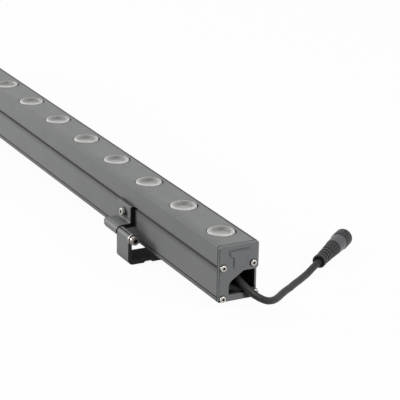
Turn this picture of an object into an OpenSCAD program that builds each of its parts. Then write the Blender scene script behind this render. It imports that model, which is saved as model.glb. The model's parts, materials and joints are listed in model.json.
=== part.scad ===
// Linear wall washer: an aluminium bar with twelve lenses, on two hinged foot brackets.
// The origin is the middle of the four foot slots, on the plane that the feet rest on.
// +X runs along the bar to the cable end, -Y is the bracket side, +Z is the way the light goes.

/* [Bar] */
// Length over both end caps
bar_length = 1000; // [820:10:1500]
// Width across the top face
bar_width = 45; // [44:0.5:56]
// Height from the underside to the top face
bar_height = 60; // [58:0.5:76]
// Thickness of the side walls
side_wall = 2; // [1.6:0.1:2.6]
// Thickness of the top face that the lenses look through
top_wall = 2.4; // [2:0.1:3]
// Thickness of the floor of the bar
floor_wall = 2.5; // [2:0.1:3.2]
// Depth of the heat shelf below the top face
shelf_drop = 17.5; // [16.5:0.1:18.4]
// Thickness of the heat shelf
shelf_thickness = 3; // [2.4:0.1:3.2]
// Radius of the long top edges
top_edge_r = 1.6; // [0.6:0.1:2]
// Radius of the long bottom edges
low_edge_r = 0.6; // [0.3:0.1:1.2]

/* [Grooves] */
// Drop of the clamp groove's lip below the top face
groove_drop = 21.6; // [21:0.1:22.4]
// Height of the clamp groove's mouth
groove_mouth = 3.5; // [3.2:0.1:3.9]
// Depth of the clamp groove into the side
groove_depth = 2.2; // [2:0.1:2.4]
// Metal left behind the clamp groove
groove_back = 1.2; // [0.8:0.1:1.4]
// Height of the lower line groove above the underside
line_rise = 4.2; // [3.8:0.1:5]
// Height of the lower line groove
line_height = 1.1; // [0.8:0.1:1.4]
// Depth of the lower line groove
line_depth = 0.8; // [0.5:0.1:1]

/* [Screw ports] */
// Core diameter of the ports that take the end cap screws
port_core_d = 2.7; // [2.6:0.05:2.9]
// Outer diameter of the ports
port_boss_d = 6; // [5.4:0.1:6.4]
// Width of the slit along each port
port_slit = 0.8; // [0.6:0.1:1]
// Distance of the bracket side ports from the bracket side
port_near_in = 4.3; // [4.2:0.1:4.6]
// Drop of the upper port on the bracket side
port_near_drop = 22.9; // [22.6:0.1:23.2]
// Distance of the upper far port from the far side
port_far_in = 6.5; // [6.2:0.1:7]
// Drop of the upper far port
port_far_drop = 22.1; // [21.8:0.1:22.6]
// Height of the lower port on the bracket side above the underside
port_low_rise = 3.8; // [3.6:0.1:4.1]
// Distance of the lower far port from the far side
port_corner_in = 3.7; // [3.5:0.1:4]
// Height of the lower far port above the underside
port_corner_rise = 5.3; // [5:0.1:5.6]

/* [Lenses] */
// Distance of the first and last lens from the ends of the bar
lens_end_in = 40; // [34:0.5:50]
// Clearance between the lens flanges and the side walls
lens_side_gap = 2.2; // [1.8:0.1:4]
// How far the rim stands above the top face
lens_proud = 1.3; // [0.6:0.1:2]
// Gap round the rim that shows the dark seal
lens_gap = 0.8; // [0.6:0.1:1]
// Width of the rounded rim
lens_rim_w = 3.4; // [2.6:0.1:3.8]
// Depth of the bowl inside the rim
lens_bowl = 3; // [1.6:0.1:3.4]
// Width of the flange that the top face holds down
lens_flange_w = 3; // [2.4:0.1:3.4]
// Thickness of the lens flange
lens_flange_t = 1.8; // [1.4:0.1:2.4]
// Thickness of the seal above the flange
lens_seal_t = 1.2; // [0.9:0.1:1.6]
// Diameter of the lens body where it meets the board
lens_foot_d = 11; // [10:0.5:13]

/* [End caps] */
// Thickness of each end cap
cap_thickness = 3.5; // [3:0.1:4.5]
// Thickness of the black seal behind each end cap
seal_thickness = 1; // [0.8:0.1:1.5]
// How far the seal stands back from the outside of the bar
seal_recess = 0.4; // [0.2:0.1:0.8]
// Corner radius along the top of the cap
cap_corner_r = 2.4; // [1.6:0.1:3]
// Bevel round the front of the cap
cap_bevel = 0.7; // [0.4:0.1:1]
// Height of each step of the raised pad
pad_step = 0.5; // [0.3:0.1:0.8]
// Width of the pad's shoulders
pad_width = 24.3; // [20:0.1:25]
// Height of the pad
pad_height = 19.3; // [17:0.1:19.5]
// Drop of the pad below the top face
pad_drop = 5.4; // [4.5:0.1:6]
// Distance of the cable notch from the bracket side
notch_in = 11.1; // [10.5:0.1:12.5]
// Drop of the top of the notch below the top face
notch_drop = 28.8; // [28.2:0.1:30]
// Height of the sill of metal below the notch
notch_sill = 7; // [6.5:0.1:7.5]
// Radius of the arch on the bracket side of the notch
notch_arch_r = 8.5; // [7:0.1:10]
// Corner radius where the cap's far edge turns in over the notch
notch_corner_r = 4.5; // [3:0.1:5]

/* [Brackets] */
// Distance of each foot's middle from the end of the bar
foot_inset = 181.5; // [140:0.5:240]
// Distance of the slots' middle line from the bracket side of the bar
foot_centre_in = 26; // [25:0.5:27]
// Distance of the hinge axis out from the side of the bar
hinge_out = 15.7; // [15.2:0.1:17]
// Drop of the hinge axis below the top face
hinge_drop = 47; // [46:0.1:48]
// Height of the bar's underside above the foot plane
stand_gap = 16.5; // [15:0.5:20]
// Length of each clamp along the bar
clamp_length = 30.4; // [26:0.2:36]
// Thickness of the clamp plate
clamp_plate = 4.4; // [3.6:0.1:5]
// Radius of the clamp's knuckle
clamp_knuckle_r = 6.3; // [5.8:0.1:6.6]
// Thickness of the clamp's web
clamp_web = 4.5; // [3.6:0.1:5]
// Length of each foot along the bar
foot_length = 29; // [28:0.2:34]
// Radius of the foot's knuckle
foot_knuckle_r = 5.3; // [5:0.1:5.6]
// Width of the slit along the top of the foot's knuckle
knuckle_slit = 1.1; // [0.8:0.1:1.4]
// Thickness of the foot's leg
leg_thickness = 4.4; // [3.6:0.1:4.8]
// Thickness of the foot's base
base_thickness = 5; // [4.2:0.1:5.6]
// Reach of the base under the bar, from the bar's bracket side
base_reach = 40; // [39:0.5:42]
// Outer radius where the leg turns into the base
base_corner_r = 6; // [3:0.1:6.5]
// Width of the pad under the leg, up to the hollow across the sole
sole_pad = 19; // [17:0.5:20]
// Width of the hollow across the sole
sole_hollow_width = 10; // [7:0.5:10.5]
// Depth of the hollow across the sole
sole_hollow = 1.5; // [0.5:0.1:2]
// Width of the foot slots
slot_width = 5.5; // [4.5:0.1:6]
// Length of the foot slots
slot_length = 14; // [10:0.5:16]
// Distance between a foot's two slots
slot_spacing = 16; // [14:0.5:17]

/* [Hinge and fasteners] */
// Diameter of the hinge bolt
bolt_d = 6; // [5.6:0.1:6.2]
// Running clearance of the foot on the bolt, on the radius
bolt_run = 0.08; // [0.03:0.01:0.1]
// Diameter of the bolt's socket head
bolt_head_d = 10; // [9:0.1:10.6]
// Height of the bolt's socket head
bolt_head_h = 6; // [5:0.1:7]
// Width across the flats of the bolt's hex socket
bolt_socket = 5; // [4:0.1:5.5]
// Diameter of the hinge washer
washer_d = 12; // [11:0.1:13]
// Thickness of the hinge washer
washer_t = 1.4; // [1:0.1:2]
// Width across the flats of the hinge nut
nut_flats = 10; // [9:0.1:11]
// Thickness of the hinge nut
nut_t = 3.2; // [2.6:0.1:6]
// Diameter of the clamp screw
clamp_screw_d = 5; // [4:0.1:5.4]
// Diameter of the clamp screw's head
clamp_head_d = 8.6; // [7.6:0.1:9.4]
// Height of the clamp screw's head
clamp_head_h = 4.6; // [3.6:0.1:5]
// Head diameter of the small screws
small_head_d = 6; // [5.4:0.1:6.4]
// Head height of the small screws
small_head_h = 2.2; // [1.8:0.1:2.6]
// Shank diameter of the small screws
small_shank_d = 2.5; // [2.3:0.05:2.55]
// Head diameter of the end cap screws
cap_head_d = 6.8; // [6:0.1:7]
// Width across the flats of the end cap screws' sockets
cap_socket = 3; // [2.5:0.1:3.5]
// Length of the end cap screws under the head
cap_screw_length = 16; // [12:0.5:22]

/* [Cable entry] */
// Diameter of the supply cable
cable_d = 7.6; // [7:0.1:8]
// Distance of the cable gland from the bracket side
gland_in = 24; // [23:0.1:25]
// Drop of the cable gland's axis below the top face
gland_drop = 36; // [35:0.1:37]
// Depth of the strain relief's mouth behind the face of the cap
entry_depth = 34; // [30:0.5:36]
// Length of the tapered strain relief
relief_length = 22; // [20:0.5:24]
// Diameter of the strain relief at the gland
relief_d = 13; // [11:0.1:14]
// Width across the flats of the gland
gland_flats = 17; // [16.4:0.1:18]
// Diameter of the gland's thread
gland_thread_d = 12; // [11.6:0.1:12.6]
// Thickness of the wall that the gland passes through
bulkhead_t = 8; // [7:0.1:10]

/* [Electronics] */
// Thickness of the LED boards
board_t = 1.6; // [1.2:0.1:2]
// Clearance between the LED boards and the side walls
board_side_gap = 2.5; // [1:0.1:4]
// Length of the driver's case
driver_length = 320; // [200:5:340]
// Clearance between the driver's case and the screw ports beside it
driver_side_gap = 1; // [0.6:0.1:3]
// Height of the driver's case
driver_height = 21; // [20:0.5:23]

/* [Connector] */
// Diameter of the coupling nut
coupling_d = 20.4; // [20.2:0.1:21.4]
// Length of the coupling nut
coupling_length = 15.2; // [14:0.1:18]
// Diameter of the connector's cable rim
rim_d = 14.8; // [14.2:0.1:15.6]
// Number of flutes round the coupling nut
coupling_flutes = 18; // [12:1:22]

/* [Hidden] */
$fn = 64;

// Overrun of every cut past the surface that it opens
over = 0.5;
// Clearance between fixed round pieces
fit = 0.1;
// Clearance between the bar and the pieces that slide or turn on it
slide_gap = 0.3;
// Play along the hinge axis on each side of the foot
end_play = 0.1;

lens_count = 12;
half_length = bar_length / 2;
body_half = half_length - cap_thickness - seal_thickness;
side_y = -foot_centre_in;
top_z = stand_gap + bar_height;
lens_pitch = (bar_length - 2 * lens_end_in) / (lens_count - 1);

// Chambers and ports of the bar, measured down from the top face
shelf_low = shelf_drop + shelf_thickness;
groove_low = groove_drop + groove_mouth;
groove_block = groove_depth + groove_back;
port_core_r = port_core_d / 2;
port_boss_r = port_boss_d / 2;
port_web_share = 0.6;
// Across, up and the way the slit opens, for the upper near, upper far and lower ports
port_places = [
  [port_near_in, -port_near_drop, -1],
  [bar_width - port_far_in, -port_far_drop, -1],
  [port_near_in, port_low_rise - bar_height, 1],
  [bar_width - port_corner_in, port_corner_rise - bar_height, 1]
];

// Levels of a lens, measured down from the top face
lens_flange_r = bar_width / 2 - side_wall - lens_side_gap;
lens_hole_r = lens_flange_r - lens_flange_w;
lens_r = lens_hole_r - lens_gap;
flange_top = top_wall + lens_seal_t;
flange_low = flange_top + lens_flange_t;
board_top = shelf_drop - board_t;
lens_bowl_wall = 3.4;
lens_crest_drop = 0.15;
lens_cup_r = 3.3;
lens_cup_h = 3.6;
seal_lip_drop = 1.4;
emitter_side = 3.5;
emitter_base_h = 0.8;
emitter_dome_r = 1.3;

// End caps
pad_inset = 1.2;
pad_neck_share = 0.6;
pad_shoulder_share = 0.3;
pad_throat_share = 0.44;
pad_middle_out = 0.75;
notch_slope = 34;
notch_arch_drop = 44.5;
notch_boss_r = 4;
screw_hole_gap = 0.45;

// Small screws
small_edge_share = 0.4;
small_head_r = small_head_d / 2;
small_shank_r = small_shank_d / 2;
small_edge_r = small_edge_share * small_head_h;
small_socket = 2.4;
small_socket_share = 0.6;
thread_gap = 0.05;

// Brackets, in places along the bar
foot_x = half_length - foot_inset;
foot_low_x = foot_x - foot_length / 2;
foot_high_x = foot_x + foot_length / 2;
clamp_high_x = foot_low_x - end_play;
clamp_low_x = clamp_high_x - clamp_length;
washer_x = foot_high_x + end_play;
bolt_tail = 0.8;
bolt_r = bolt_d / 2;
hinge_z = top_z - hinge_drop;
hinge_y = side_y - hinge_out;
web_drop = hinge_drop - clamp_knuckle_r;
clamp_screw_drop = (groove_drop + web_drop) / 2;
clamp_fillet_r = 2;
clamp_edge_r = 1;
tongue_gap = 0.45;
clamp_socket = 4;
socket_depth_share = 0.55;
head_edge_share = 0.16;
foot_fillet_r = 2;
slit_angle = 115;
foot_drop = bar_height + stand_gap;
leg_out = hinge_out + foot_knuckle_r;
plate_out = slide_gap + clamp_plate;
plate_top = groove_drop + slide_gap;
web_low = web_drop + clamp_web;
sole_slope = 1.5;
bolt_head_x = washer_x + washer_t;
nut_x = clamp_low_x - nut_t;
bolt_end_x = nut_x - bolt_tail;

// Cable entry, in distances behind the face of the near cap
cable_r = cable_d / 2;
gland_y = side_y + gland_in;
gland_z = top_z - gland_drop;
relief_base = entry_depth + relief_length;
relief_mouth_wall = 1;
relief_mouth_r = cable_r + relief_mouth_wall;
relief_ring_depth = 0.5;
relief_ring_width = 1.2;
relief_rings = 4;
gland_nut_length = 12;
gland_lip = 3;
gland_lip_gap = 0.3;
gland_flange_t = 3;
gland_seal_length = 7;
gland_seal_wall = 1.1;
gland_thread_r = gland_thread_d / 2;
bulkhead_at = relief_base + gland_nut_length + gland_flange_t;
bulkhead_seal_w = 3;
bulkhead_seal_depth = 1.9;
bulkhead_lip = (bulkhead_t - bulkhead_seal_w) / 2;
rubber_gap = 0.05;
locknut_at = bulkhead_at + bulkhead_t;
locknut_t = 4;
gland_tail = 3;
gland_end = locknut_at + locknut_t + gland_tail;

// Driver and boards
board_width = bar_width - 2 * (side_wall + board_side_gap);
board_split = 1;
board_end_gap = 4;
board_screw_steps = [1, 3, 5];
driver_near_in = 110;
driver_side_in = port_near_in + port_boss_r + driver_side_gap;
driver_width = bar_width - port_far_in - port_boss_r - driver_side_gap - driver_side_in;
driver_tab = 12;
driver_tab_t = 1.6;
driver_edge_r = 2;
driver_screw_edge = 4.6;
driver_screw_out = driver_width / 2 - driver_screw_edge;
driver_high_x = half_length - driver_near_in;
driver_low_x = driver_high_x - driver_length;
driver_screw_x = [driver_low_x - driver_tab / 2, driver_high_x + driver_tab / 2];
driver_screw_y = [for (side = [-1, 1]) driver_side_in + driver_width / 2 + side * driver_screw_out];
lead_length = 12;
lead_r = 1;
lead_ring_r = 1.8;
tail_end = driver_near_in - lead_length;
wire_hole_r = 4;
wire_hole_in = 92;
wire_side_in = 12;
board_lead_r = 0.8;
board_lead_pitch = 2.4;
board_lead_drop = 30;

// Connector, in distances from the rear rim of its body
rim_r = rim_d / 2;
rim_length = 4.2;
rim_bore_r = 5.4;
cable_seat = 5;
plug_seal_length = 6;
plug_neck_r = 6.2;
ring_at = 5.8;
ring_pitch = 5.8;
ring_width = 4.2;
ring_low_r = 7.15;
ring_high_r = 7.6;
plug_rings = 3;
grip_at = 23.2;
grip_length = 17.4;
grip_low_r = 7.7;
grip_high_r = 8.7;
grip_flutes = 18;
grip_flute_r = 0.5;
sleeve_at = grip_at + grip_length;
sleeve_end = 59;
sleeve_low_r = 8.9;
sleeve_high_r = 9.6;
spigot_end = 72;
spigot_r = 7.6;
spigot_bore_r = 6.6;
insert_at = 50;
insert_end = 70;
coupling_play = 0.2;
coupling_at = sleeve_end + coupling_play;
coupling_lip = 3;
coupling_run = 0.08;
coupling_flange_r = 8.5;
coupling_bore_r = 8.7;
coupling_neck_r = 7;
coupling_edge_r = 1.6;
flute_r = 0.6;
flute_sides = 16;
contact_r = 1;
contact_ring_r = 3.2;
contact_count = 3;
contact_out = 1.6;

// The connector lies on its rear rim and its coupling nut, so that its front is a little higher
plug_angle = 127;
plug_tilt = atan((coupling_d - rim_d) / 2 / coupling_at);
plug_way = [cos(plug_angle) * cos(plug_tilt), sin(plug_angle) * cos(plug_tilt), sin(plug_tilt)];
plug_rear = [-74.5, 162.5, rim_r * cos(plug_tilt)];

// Middle of the cable from the strain relief to the connector, from the face of the near cap,
// the bracket side of the bar and the plane that the feet rest on
cable_sides = 12;
cable_route = [
  [-entry_depth, gland_in, gland_z], [-23.5, gland_in, gland_z], [-12, 24.5, 38], [-2, 27.5, 32.5],
  [4.5, 33.5, 25], [7.5, 42.5, 18], [6.5, 52.5, 12.5], [1.5, 63, 9.5], [-5.5, 72, 8],
  [-13, 81, 7.5], [-20.5, 90.5, 7], [-27.5, 99.5, 6], [-35, 109, 5.5], [-42, 118.5, 5],
  [-49, 127.5, 4.5], [-56, 137, 4.5], [-63, 146.5, 5.5], [-70, 156, 6.5],
  plug_rear + cable_seat * plug_way
];

// Colours of the drawing
aluminium = [0.44, 0.45, 0.45];
dark_metal = [0.34, 0.35, 0.35];
steel = [0.75, 0.75, 0.73];
black_rubber = [0.12, 0.12, 0.12];
cable_rubber = [0.2, 0.2, 0.2];
clear_plastic = [0.82, 0.83, 0.82];
board_white = [0.9, 0.9, 0.88];
emitter_yellow = [0.9, 0.8, 0.35];
brass = [0.72, 0.6, 0.3];

// Distance between opposite corners of a hexagon
function corners(flats) = flats / cos(30);

// Place along the bar of a lens, counted from the cable end
function lens_x(index) = half_length - lens_end_in - index * lens_pitch;

// Frame at the bracket side's top edge, halfway along the bar
module at_bar() translate([0, side_y, top_z]) children();

// Outline drawn across the bar, pushed along it
module along_bar(low_x, length) at_bar() translate([low_x, 0, 0]) rotate([90, 0, 90])
  linear_extrude(length) children();

// The cable end as drawn, or its mirror image at the other end
module at_end(far) {
  if (far) mirror([1, 0, 0]) children();
  else children();
}

// Frame on the hinge axis, with Z along +X
module on_hinge(x) translate([x, hinge_y, hinge_z]) rotate([0, 90, 0]) children();

// Frame on the gland's axis, with Z into the bar from the given depth
module on_gland(depth) translate([half_length - depth, gland_y, gland_z]) rotate([0, -90, 0])
  children();

// Corner of the bar at the near cap's face, above which the cable's route is measured
module at_cable_end() translate([half_length, side_y, 0]) children();

// Frame on the connector's axis, with Z towards its front
module on_plug(distance) at_cable_end() translate(plug_rear)
  rotate([0, acos(plug_way[2]), plug_angle]) translate([0, 0, distance]) children();

// Ring from z = 0
module ring(outer_r, bore_r, height) {
  difference() {
    cylinder(r = outer_r, h = height);
    translate([0, 0, -over]) cylinder(r = bore_r, h = height + 2 * over);
  }
}

// Hexagonal nut from z = 0
module hex_nut(flats, bore_r, height) {
  difference() {
    cylinder(d = corners(flats), h = height, $fn = 6);
    translate([0, 0, -over]) cylinder(r = bore_r, h = height + 2 * over);
  }
}

// Half section of a round head with a rounded upper edge
module head_2d(radius, height, edge) {
  square([radius - edge, height]);
  square([radius, height - edge]);
  translate([radius - edge, height - edge]) circle(edge);
}

// Head with a hexagonal socket, above z = 0
module socket_head(radius, height, socket, depth, edge) {
  difference() {
    rotate_extrude() head_2d(radius, height, edge);
    translate([0, 0, height - depth]) cylinder(d = corners(socket), h = depth + over, $fn = 6);
  }
}

// Small screw that points down from z = 0
module small_screw(radius, socket, length) {
  socket_head(radius, small_head_h, socket, small_socket_share * small_head_h, small_edge_r);
  translate([0, 0, -length]) cylinder(r = small_shank_r, h = length + over);
}

// Outline of the bar, drawn in by a recess on every side
module bar_outline_2d(top_r, recess) {
  near_y = recess;
  far_y = bar_width - recess;
  low_z = recess - bar_height;
  high_z = -recess;
  polygon([
    [near_y, low_z + low_edge_r], [near_y + low_edge_r, low_z],
    [far_y - low_edge_r, low_z], [far_y, low_z + low_edge_r],
    [far_y, high_z - top_r], [far_y - top_r, high_z], [near_y + top_r, high_z], [near_y, high_z - top_r]
  ]);
  for (y = [near_y + top_r, far_y - top_r])
    translate([y, high_z - top_r]) circle(top_r);
  for (y = [near_y + low_edge_r, far_y - low_edge_r])
    translate([y, low_z + low_edge_r]) circle(low_edge_r);
}

// Metal that joins a screw port to the wall and to the shelf or the floor beside it
module port_web_2d(place, gap) {
  reach = port_web_share * port_boss_r + gap;
  low_y = place[0] > bar_width / 2 ? place[0] - reach : 0;
  high_y = place[0] > bar_width / 2 ? bar_width : place[0] + reach;
  low_z = place[2] > 0 ? -bar_height : place[1] - reach;
  high_z = place[2] > 0 ? place[1] + reach : 0;
  translate([low_y, low_z]) square([high_y - low_y, high_z - low_z]);
}

// Driver chamber, drawn in by a gap on every side
module driver_chamber_2d(gap) {
  block = groove_block + gap;
  difference() {
    translate([side_wall + gap, floor_wall + gap - bar_height])
      square([bar_width - 2 * (side_wall + gap), bar_height - floor_wall - shelf_low - 2 * gap]);
    for (place = port_places) {
      translate([place[0], place[1]]) circle(port_boss_r + gap);
      port_web_2d(place, gap);
    }
    for (y = [0, bar_width - block])
      translate([y, -groove_low - groove_back - gap]) square([block, bar_height]);
  }
}

module lens_chamber_2d() {
  translate([side_wall, -shelf_drop])
    square([bar_width - 2 * side_wall, shelf_drop - top_wall]);
}

// Clamp groove that leans up into the side, and the line groove near the underside
module side_grooves_2d() {
  polygon([
    [-over, -groove_drop - over], [groove_depth, groove_depth - groove_drop],
    [groove_depth, groove_depth - groove_low], [-over, -groove_low - over]
  ]);
  translate([-over, line_rise - bar_height]) square([line_depth + over, line_height]);
}

module screw_ports_2d() {
  for (place = port_places) translate([place[0], place[1]]) {
    circle(port_core_r);
    translate([-port_slit / 2, place[2] > 0 ? 0 : -port_boss_r - over])
      square([port_slit, port_boss_r + over]);
  }
}

module bar_section_2d() {
  difference() {
    bar_outline_2d(top_edge_r, 0);
    lens_chamber_2d();
    driver_chamber_2d(0);
    screw_ports_2d();
    side_grooves_2d();
    translate([bar_width, 0]) mirror([1, 0]) side_grooves_2d();
  }
}

// Holes through the heat shelf, from just above it
module shelf_hole(x, y, radius) {
  at_bar() translate([x, y, -shelf_low - over])
    cylinder(r = radius, h = shelf_thickness + 2 * over);
}

module housing() {
  color(aluminium) difference() {
    along_bar(-body_half, 2 * body_half) bar_section_2d();
    for (index = [0 : lens_count - 1])
      at_bar() translate([lens_x(index), bar_width / 2, -top_wall - over])
        cylinder(r = lens_hole_r, h = top_wall + 2 * over);
    for (step = board_screw_steps, side = [-1, 1])
      shelf_hole(side * step * lens_pitch, bar_width / 2, small_shank_r + thread_gap);
    for (x = driver_screw_x, y = driver_screw_y)
      shelf_hole(x, y, small_shank_r + thread_gap);
    shelf_hole(half_length - wire_hole_in, wire_side_in, wire_hole_r);
  }
}

// Notch for the cable, open to the far side, with an arch towards the bracket side
module notch_2d() {
  arch_y = notch_in + notch_arch_r;
  tangent = [
    arch_y - notch_arch_r * sin(notch_slope),
    notch_arch_r * cos(notch_slope) - notch_arch_drop
  ];
  crest_y = tangent[0] + (-notch_drop - tangent[1]) / tan(notch_slope);
  sill = notch_sill - bar_height;
  difference() {
    union() {
      polygon([
        [notch_in, sill], [bar_width + over, sill], [bar_width + over, -notch_drop],
        [crest_y, -notch_drop], tangent, [arch_y, -notch_arch_drop],
        [notch_in, -notch_arch_drop]
      ]);
      translate([arch_y, -notch_arch_drop]) intersection() {
        circle(notch_arch_r);
        translate([-notch_arch_r, 0]) square([2 * notch_arch_r, notch_arch_r]);
      }
      difference() {
        translate([bar_width - notch_corner_r, -notch_drop - over])
          square([notch_corner_r + over, notch_corner_r + over]);
        translate([bar_width - notch_corner_r, notch_corner_r - notch_drop])
          circle(notch_corner_r);
      }
    }
    translate([port_places[3][0], port_places[3][1]]) circle(notch_boss_r);
  }
}

// Cap or seal outline with its screw holes, and with the notch at the cable end
module end_plate_2d(top_r, recess, far) {
  difference() {
    bar_outline_2d(top_r, recess);
    if (!far) notch_2d();
    for (place = port_places)
      translate([place[0], place[1]]) circle(small_shank_r + screw_hole_gap);
  }
}

// Raised pad: a wide head on a narrow neck
module pad_2d(inset) {
  wide = pad_width / 2 - inset;
  neck = pad_neck_share * pad_width / 2 - inset;
  shoulder = -pad_shoulder_share * pad_height;
  throat = -pad_throat_share * pad_height;
  foot = inset - pad_height;
  translate([bar_width / 2 + pad_middle_out, -pad_drop]) polygon([
    [-wide, -inset], [wide, -inset], [wide, shoulder], [neck, throat],
    [neck, foot], [-neck, foot], [-neck, throat], [-wide, shoulder]
  ]);
}

// Square bars on the front edges of a cap, which cut its bevel
module bevel_cutters() {
  side = cap_bevel * sqrt(2);
  at_bar() for (share = [0, 1]) {
    translate([half_length, share * bar_width, -bar_height / 2]) rotate([0, 0, 45])
      cube([side, side, bar_height + 2 * over], center = true);
    translate([half_length, bar_width / 2, -share * bar_height]) rotate([0, 45, 0])
      cube([side, bar_width + 2 * over, side], center = true);
  }
}

module end_cap(far) {
  color(dark_metal) at_end(far) {
    difference() {
      along_bar(half_length - cap_thickness, cap_thickness) end_plate_2d(cap_corner_r, 0, far);
      bevel_cutters();
    }
    along_bar(half_length - pad_step, 2 * pad_step) pad_2d(0);
    along_bar(half_length - pad_step, 3 * pad_step) pad_2d(pad_inset);
  }
}

module end_seal(far) {
  color(black_rubber) at_end(far)
    along_bar(body_half, seal_thickness) end_plate_2d(top_edge_r, seal_recess, far);
}

module cap_screws(far) {
  color(steel) at_end(far) at_bar() for (place = port_places)
    translate([half_length, place[0], place[1]]) rotate([0, 90, 0])
      small_screw(cap_head_d / 2, cap_socket, cap_screw_length);
}

module at_lens(index) at_bar() translate([lens_x(index), bar_width / 2, 0]) children();

// Rounded rim round a bowl, a flange under the top face, and a cone down to the board
module lens(index) {
  bead_r = lens_rim_w / 2;
  bead_middle = lens_r - bead_r;
  dish = lens_proud - lens_bowl;
  color(clear_plastic) at_lens(index) rotate_extrude() {
    polygon([
      [0, lens_cup_h - board_top], [lens_cup_r, lens_cup_h - board_top],
      [lens_cup_r, -board_top], [lens_foot_d / 2, -board_top], [lens_r, -flange_low],
      [lens_flange_r, -flange_low], [lens_flange_r, -flange_top], [lens_r, -flange_top],
      [lens_r, lens_proud - bead_r], [bead_middle, lens_proud - bead_r],
      [bead_middle, lens_proud - lens_crest_drop], [bead_middle - lens_bowl_wall, dish], [0, dish]
    ]);
    translate([bead_middle, lens_proud - bead_r]) circle(bead_r);
  }
}

// Seals that lie between each flange and the top face, with a lip up the gap round the rim
module lens_seals() {
  inner_r = lens_r + rubber_gap;
  lip_r = lens_hole_r - rubber_gap;
  color(black_rubber) for (index = [0 : lens_count - 1]) at_lens(index)
    rotate_extrude() polygon([
      [inner_r, -flange_top], [lens_flange_r, -flange_top], [lens_flange_r, -top_wall],
      [lip_r, -top_wall], [lip_r, -seal_lip_drop], [inner_r, -seal_lip_drop]
    ]);
}

module led_board(far) {
  length = body_half - board_end_gap - board_split / 2;
  color(board_white) at_end(far) at_bar() difference() {
    translate([board_split / 2, (bar_width - board_width) / 2, -shelf_drop])
      cube([length, board_width, board_t]);
    for (step = board_screw_steps)
      translate([step * lens_pitch, bar_width / 2, -shelf_drop - over])
        cylinder(r = small_shank_r + screw_hole_gap, h = board_t + 2 * over);
  }
}

module led_emitters() {
  color(emitter_yellow) for (index = [0 : lens_count - 1])
    at_lens(index) translate([0, 0, -board_top]) {
      translate([-emitter_side / 2, -emitter_side / 2, 0])
        cube([emitter_side, emitter_side, emitter_base_h]);
      translate([0, 0, emitter_base_h]) rotate_extrude() intersection() {
        circle(emitter_dome_r);
        square(emitter_dome_r);
      }
    }
}

module board_screws() {
  color(steel) at_bar() for (step = board_screw_steps, side = [-1, 1])
    translate([side * step * lens_pitch, bar_width / 2, -board_top])
      small_screw(small_head_r, small_socket, board_t + shelf_thickness);
}

module driver_section_2d() {
  edge = driver_edge_r;
  translate([0, edge - driver_height]) square([driver_width, driver_height - edge]);
  translate([edge, -driver_height]) square([driver_width - 2 * edge, driver_height]);
  for (y = [edge, driver_width - edge])
    translate([y, edge - driver_height]) circle(edge);
}

// Case against the heat shelf, with a drilled tab at each end
module driver() {
  color(steel) difference() {
    union() {
      along_bar(driver_low_x, driver_length)
        translate([driver_side_in, -shelf_low]) driver_section_2d();
      at_bar() translate([driver_low_x - driver_tab, driver_side_in, -shelf_low - driver_tab_t])
        cube([driver_length + 2 * driver_tab, driver_width, driver_tab_t]);
    }
    at_bar() for (x = driver_screw_x, y = driver_screw_y)
      translate([x, y, -shelf_low - driver_tab_t - over])
        cylinder(r = small_shank_r + screw_hole_gap, h = driver_tab_t + 2 * over);
  }
}

module driver_screws() {
  color(steel) at_bar() for (x = driver_screw_x, y = driver_screw_y)
    translate([x, y, -shelf_low - driver_tab_t]) rotate([180, 0, 0])
      small_screw(small_head_r, small_socket, driver_tab_t + shelf_thickness);
}

// Three cores from the stripped end of the cable to the driver
module driver_leads() {
  color(cable_rubber) on_gland(tail_end) for (turn = [90 : 120 : 330])
    rotate([0, 0, turn]) translate([lead_ring_r, 0, 0]) cylinder(r = lead_r, h = lead_length);
}

// Two wires from the driver, up through the heat shelf to the board
module board_leads() {
  rise_x = half_length - wire_hole_in;
  color(cable_rubber) at_bar() for (side = [-1, 1])
    translate([0, wire_side_in + side * board_lead_pitch / 2, -board_lead_drop]) {
      translate([driver_high_x, 0, 0]) rotate([0, 90, 0])
        cylinder(r = board_lead_r, h = rise_x - driver_high_x);
      translate([rise_x, 0, 0]) sphere(r = board_lead_r);
      translate([rise_x, 0, 0]) cylinder(r = board_lead_r, h = board_lead_drop - shelf_drop);
    }
}

// Plug across the driver chamber, with a groove round it for its seal
module bulkhead() {
  low_x = half_length - bulkhead_at - bulkhead_t;
  color(dark_metal) difference() {
    union() {
      along_bar(low_x, bulkhead_t) driver_chamber_2d(slide_gap + bulkhead_seal_depth);
      for (x = [low_x, low_x + bulkhead_lip + bulkhead_seal_w])
        along_bar(x, bulkhead_lip) driver_chamber_2d(slide_gap);
    }
    on_gland(bulkhead_at - over) cylinder(r = gland_thread_r + fit, h = bulkhead_t + 2 * over);
  }
}

module bulkhead_seal() {
  color(black_rubber)
    along_bar(half_length - bulkhead_at - bulkhead_lip - bulkhead_seal_w, bulkhead_seal_w)
      difference() {
        driver_chamber_2d(rubber_gap);
        driver_chamber_2d(slide_gap + bulkhead_seal_depth - rubber_gap);
      }
}

module gland_body() {
  front = relief_base + gland_lip + gland_lip_gap;
  color(steel) difference() {
    union() {
      on_gland(front) cylinder(r = gland_thread_r, h = gland_end - front);
      on_gland(bulkhead_at - gland_flange_t)
        cylinder(d = corners(gland_flats), h = gland_flange_t, $fn = 6);
    }
    on_gland(front - over) cylinder(r = cable_r + gland_lip_gap, h = gland_end - front + 2 * over);
    on_gland(front - over)
      cylinder(r = cable_r + gland_seal_wall + rubber_gap, h = gland_seal_length - gland_lip_gap + over);
  }
}

module gland_seal() {
  color(black_rubber) on_gland(relief_base + gland_lip)
    ring(cable_r + gland_seal_wall, cable_r, gland_seal_length);
}

module gland_nut() {
  color(steel) on_gland(relief_base) difference() {
    hex_nut(gland_flats, cable_r + gland_lip_gap, gland_nut_length);
    translate([0, 0, gland_lip])
      cylinder(r = gland_thread_r + thread_gap, h = gland_nut_length);
  }
}

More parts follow.
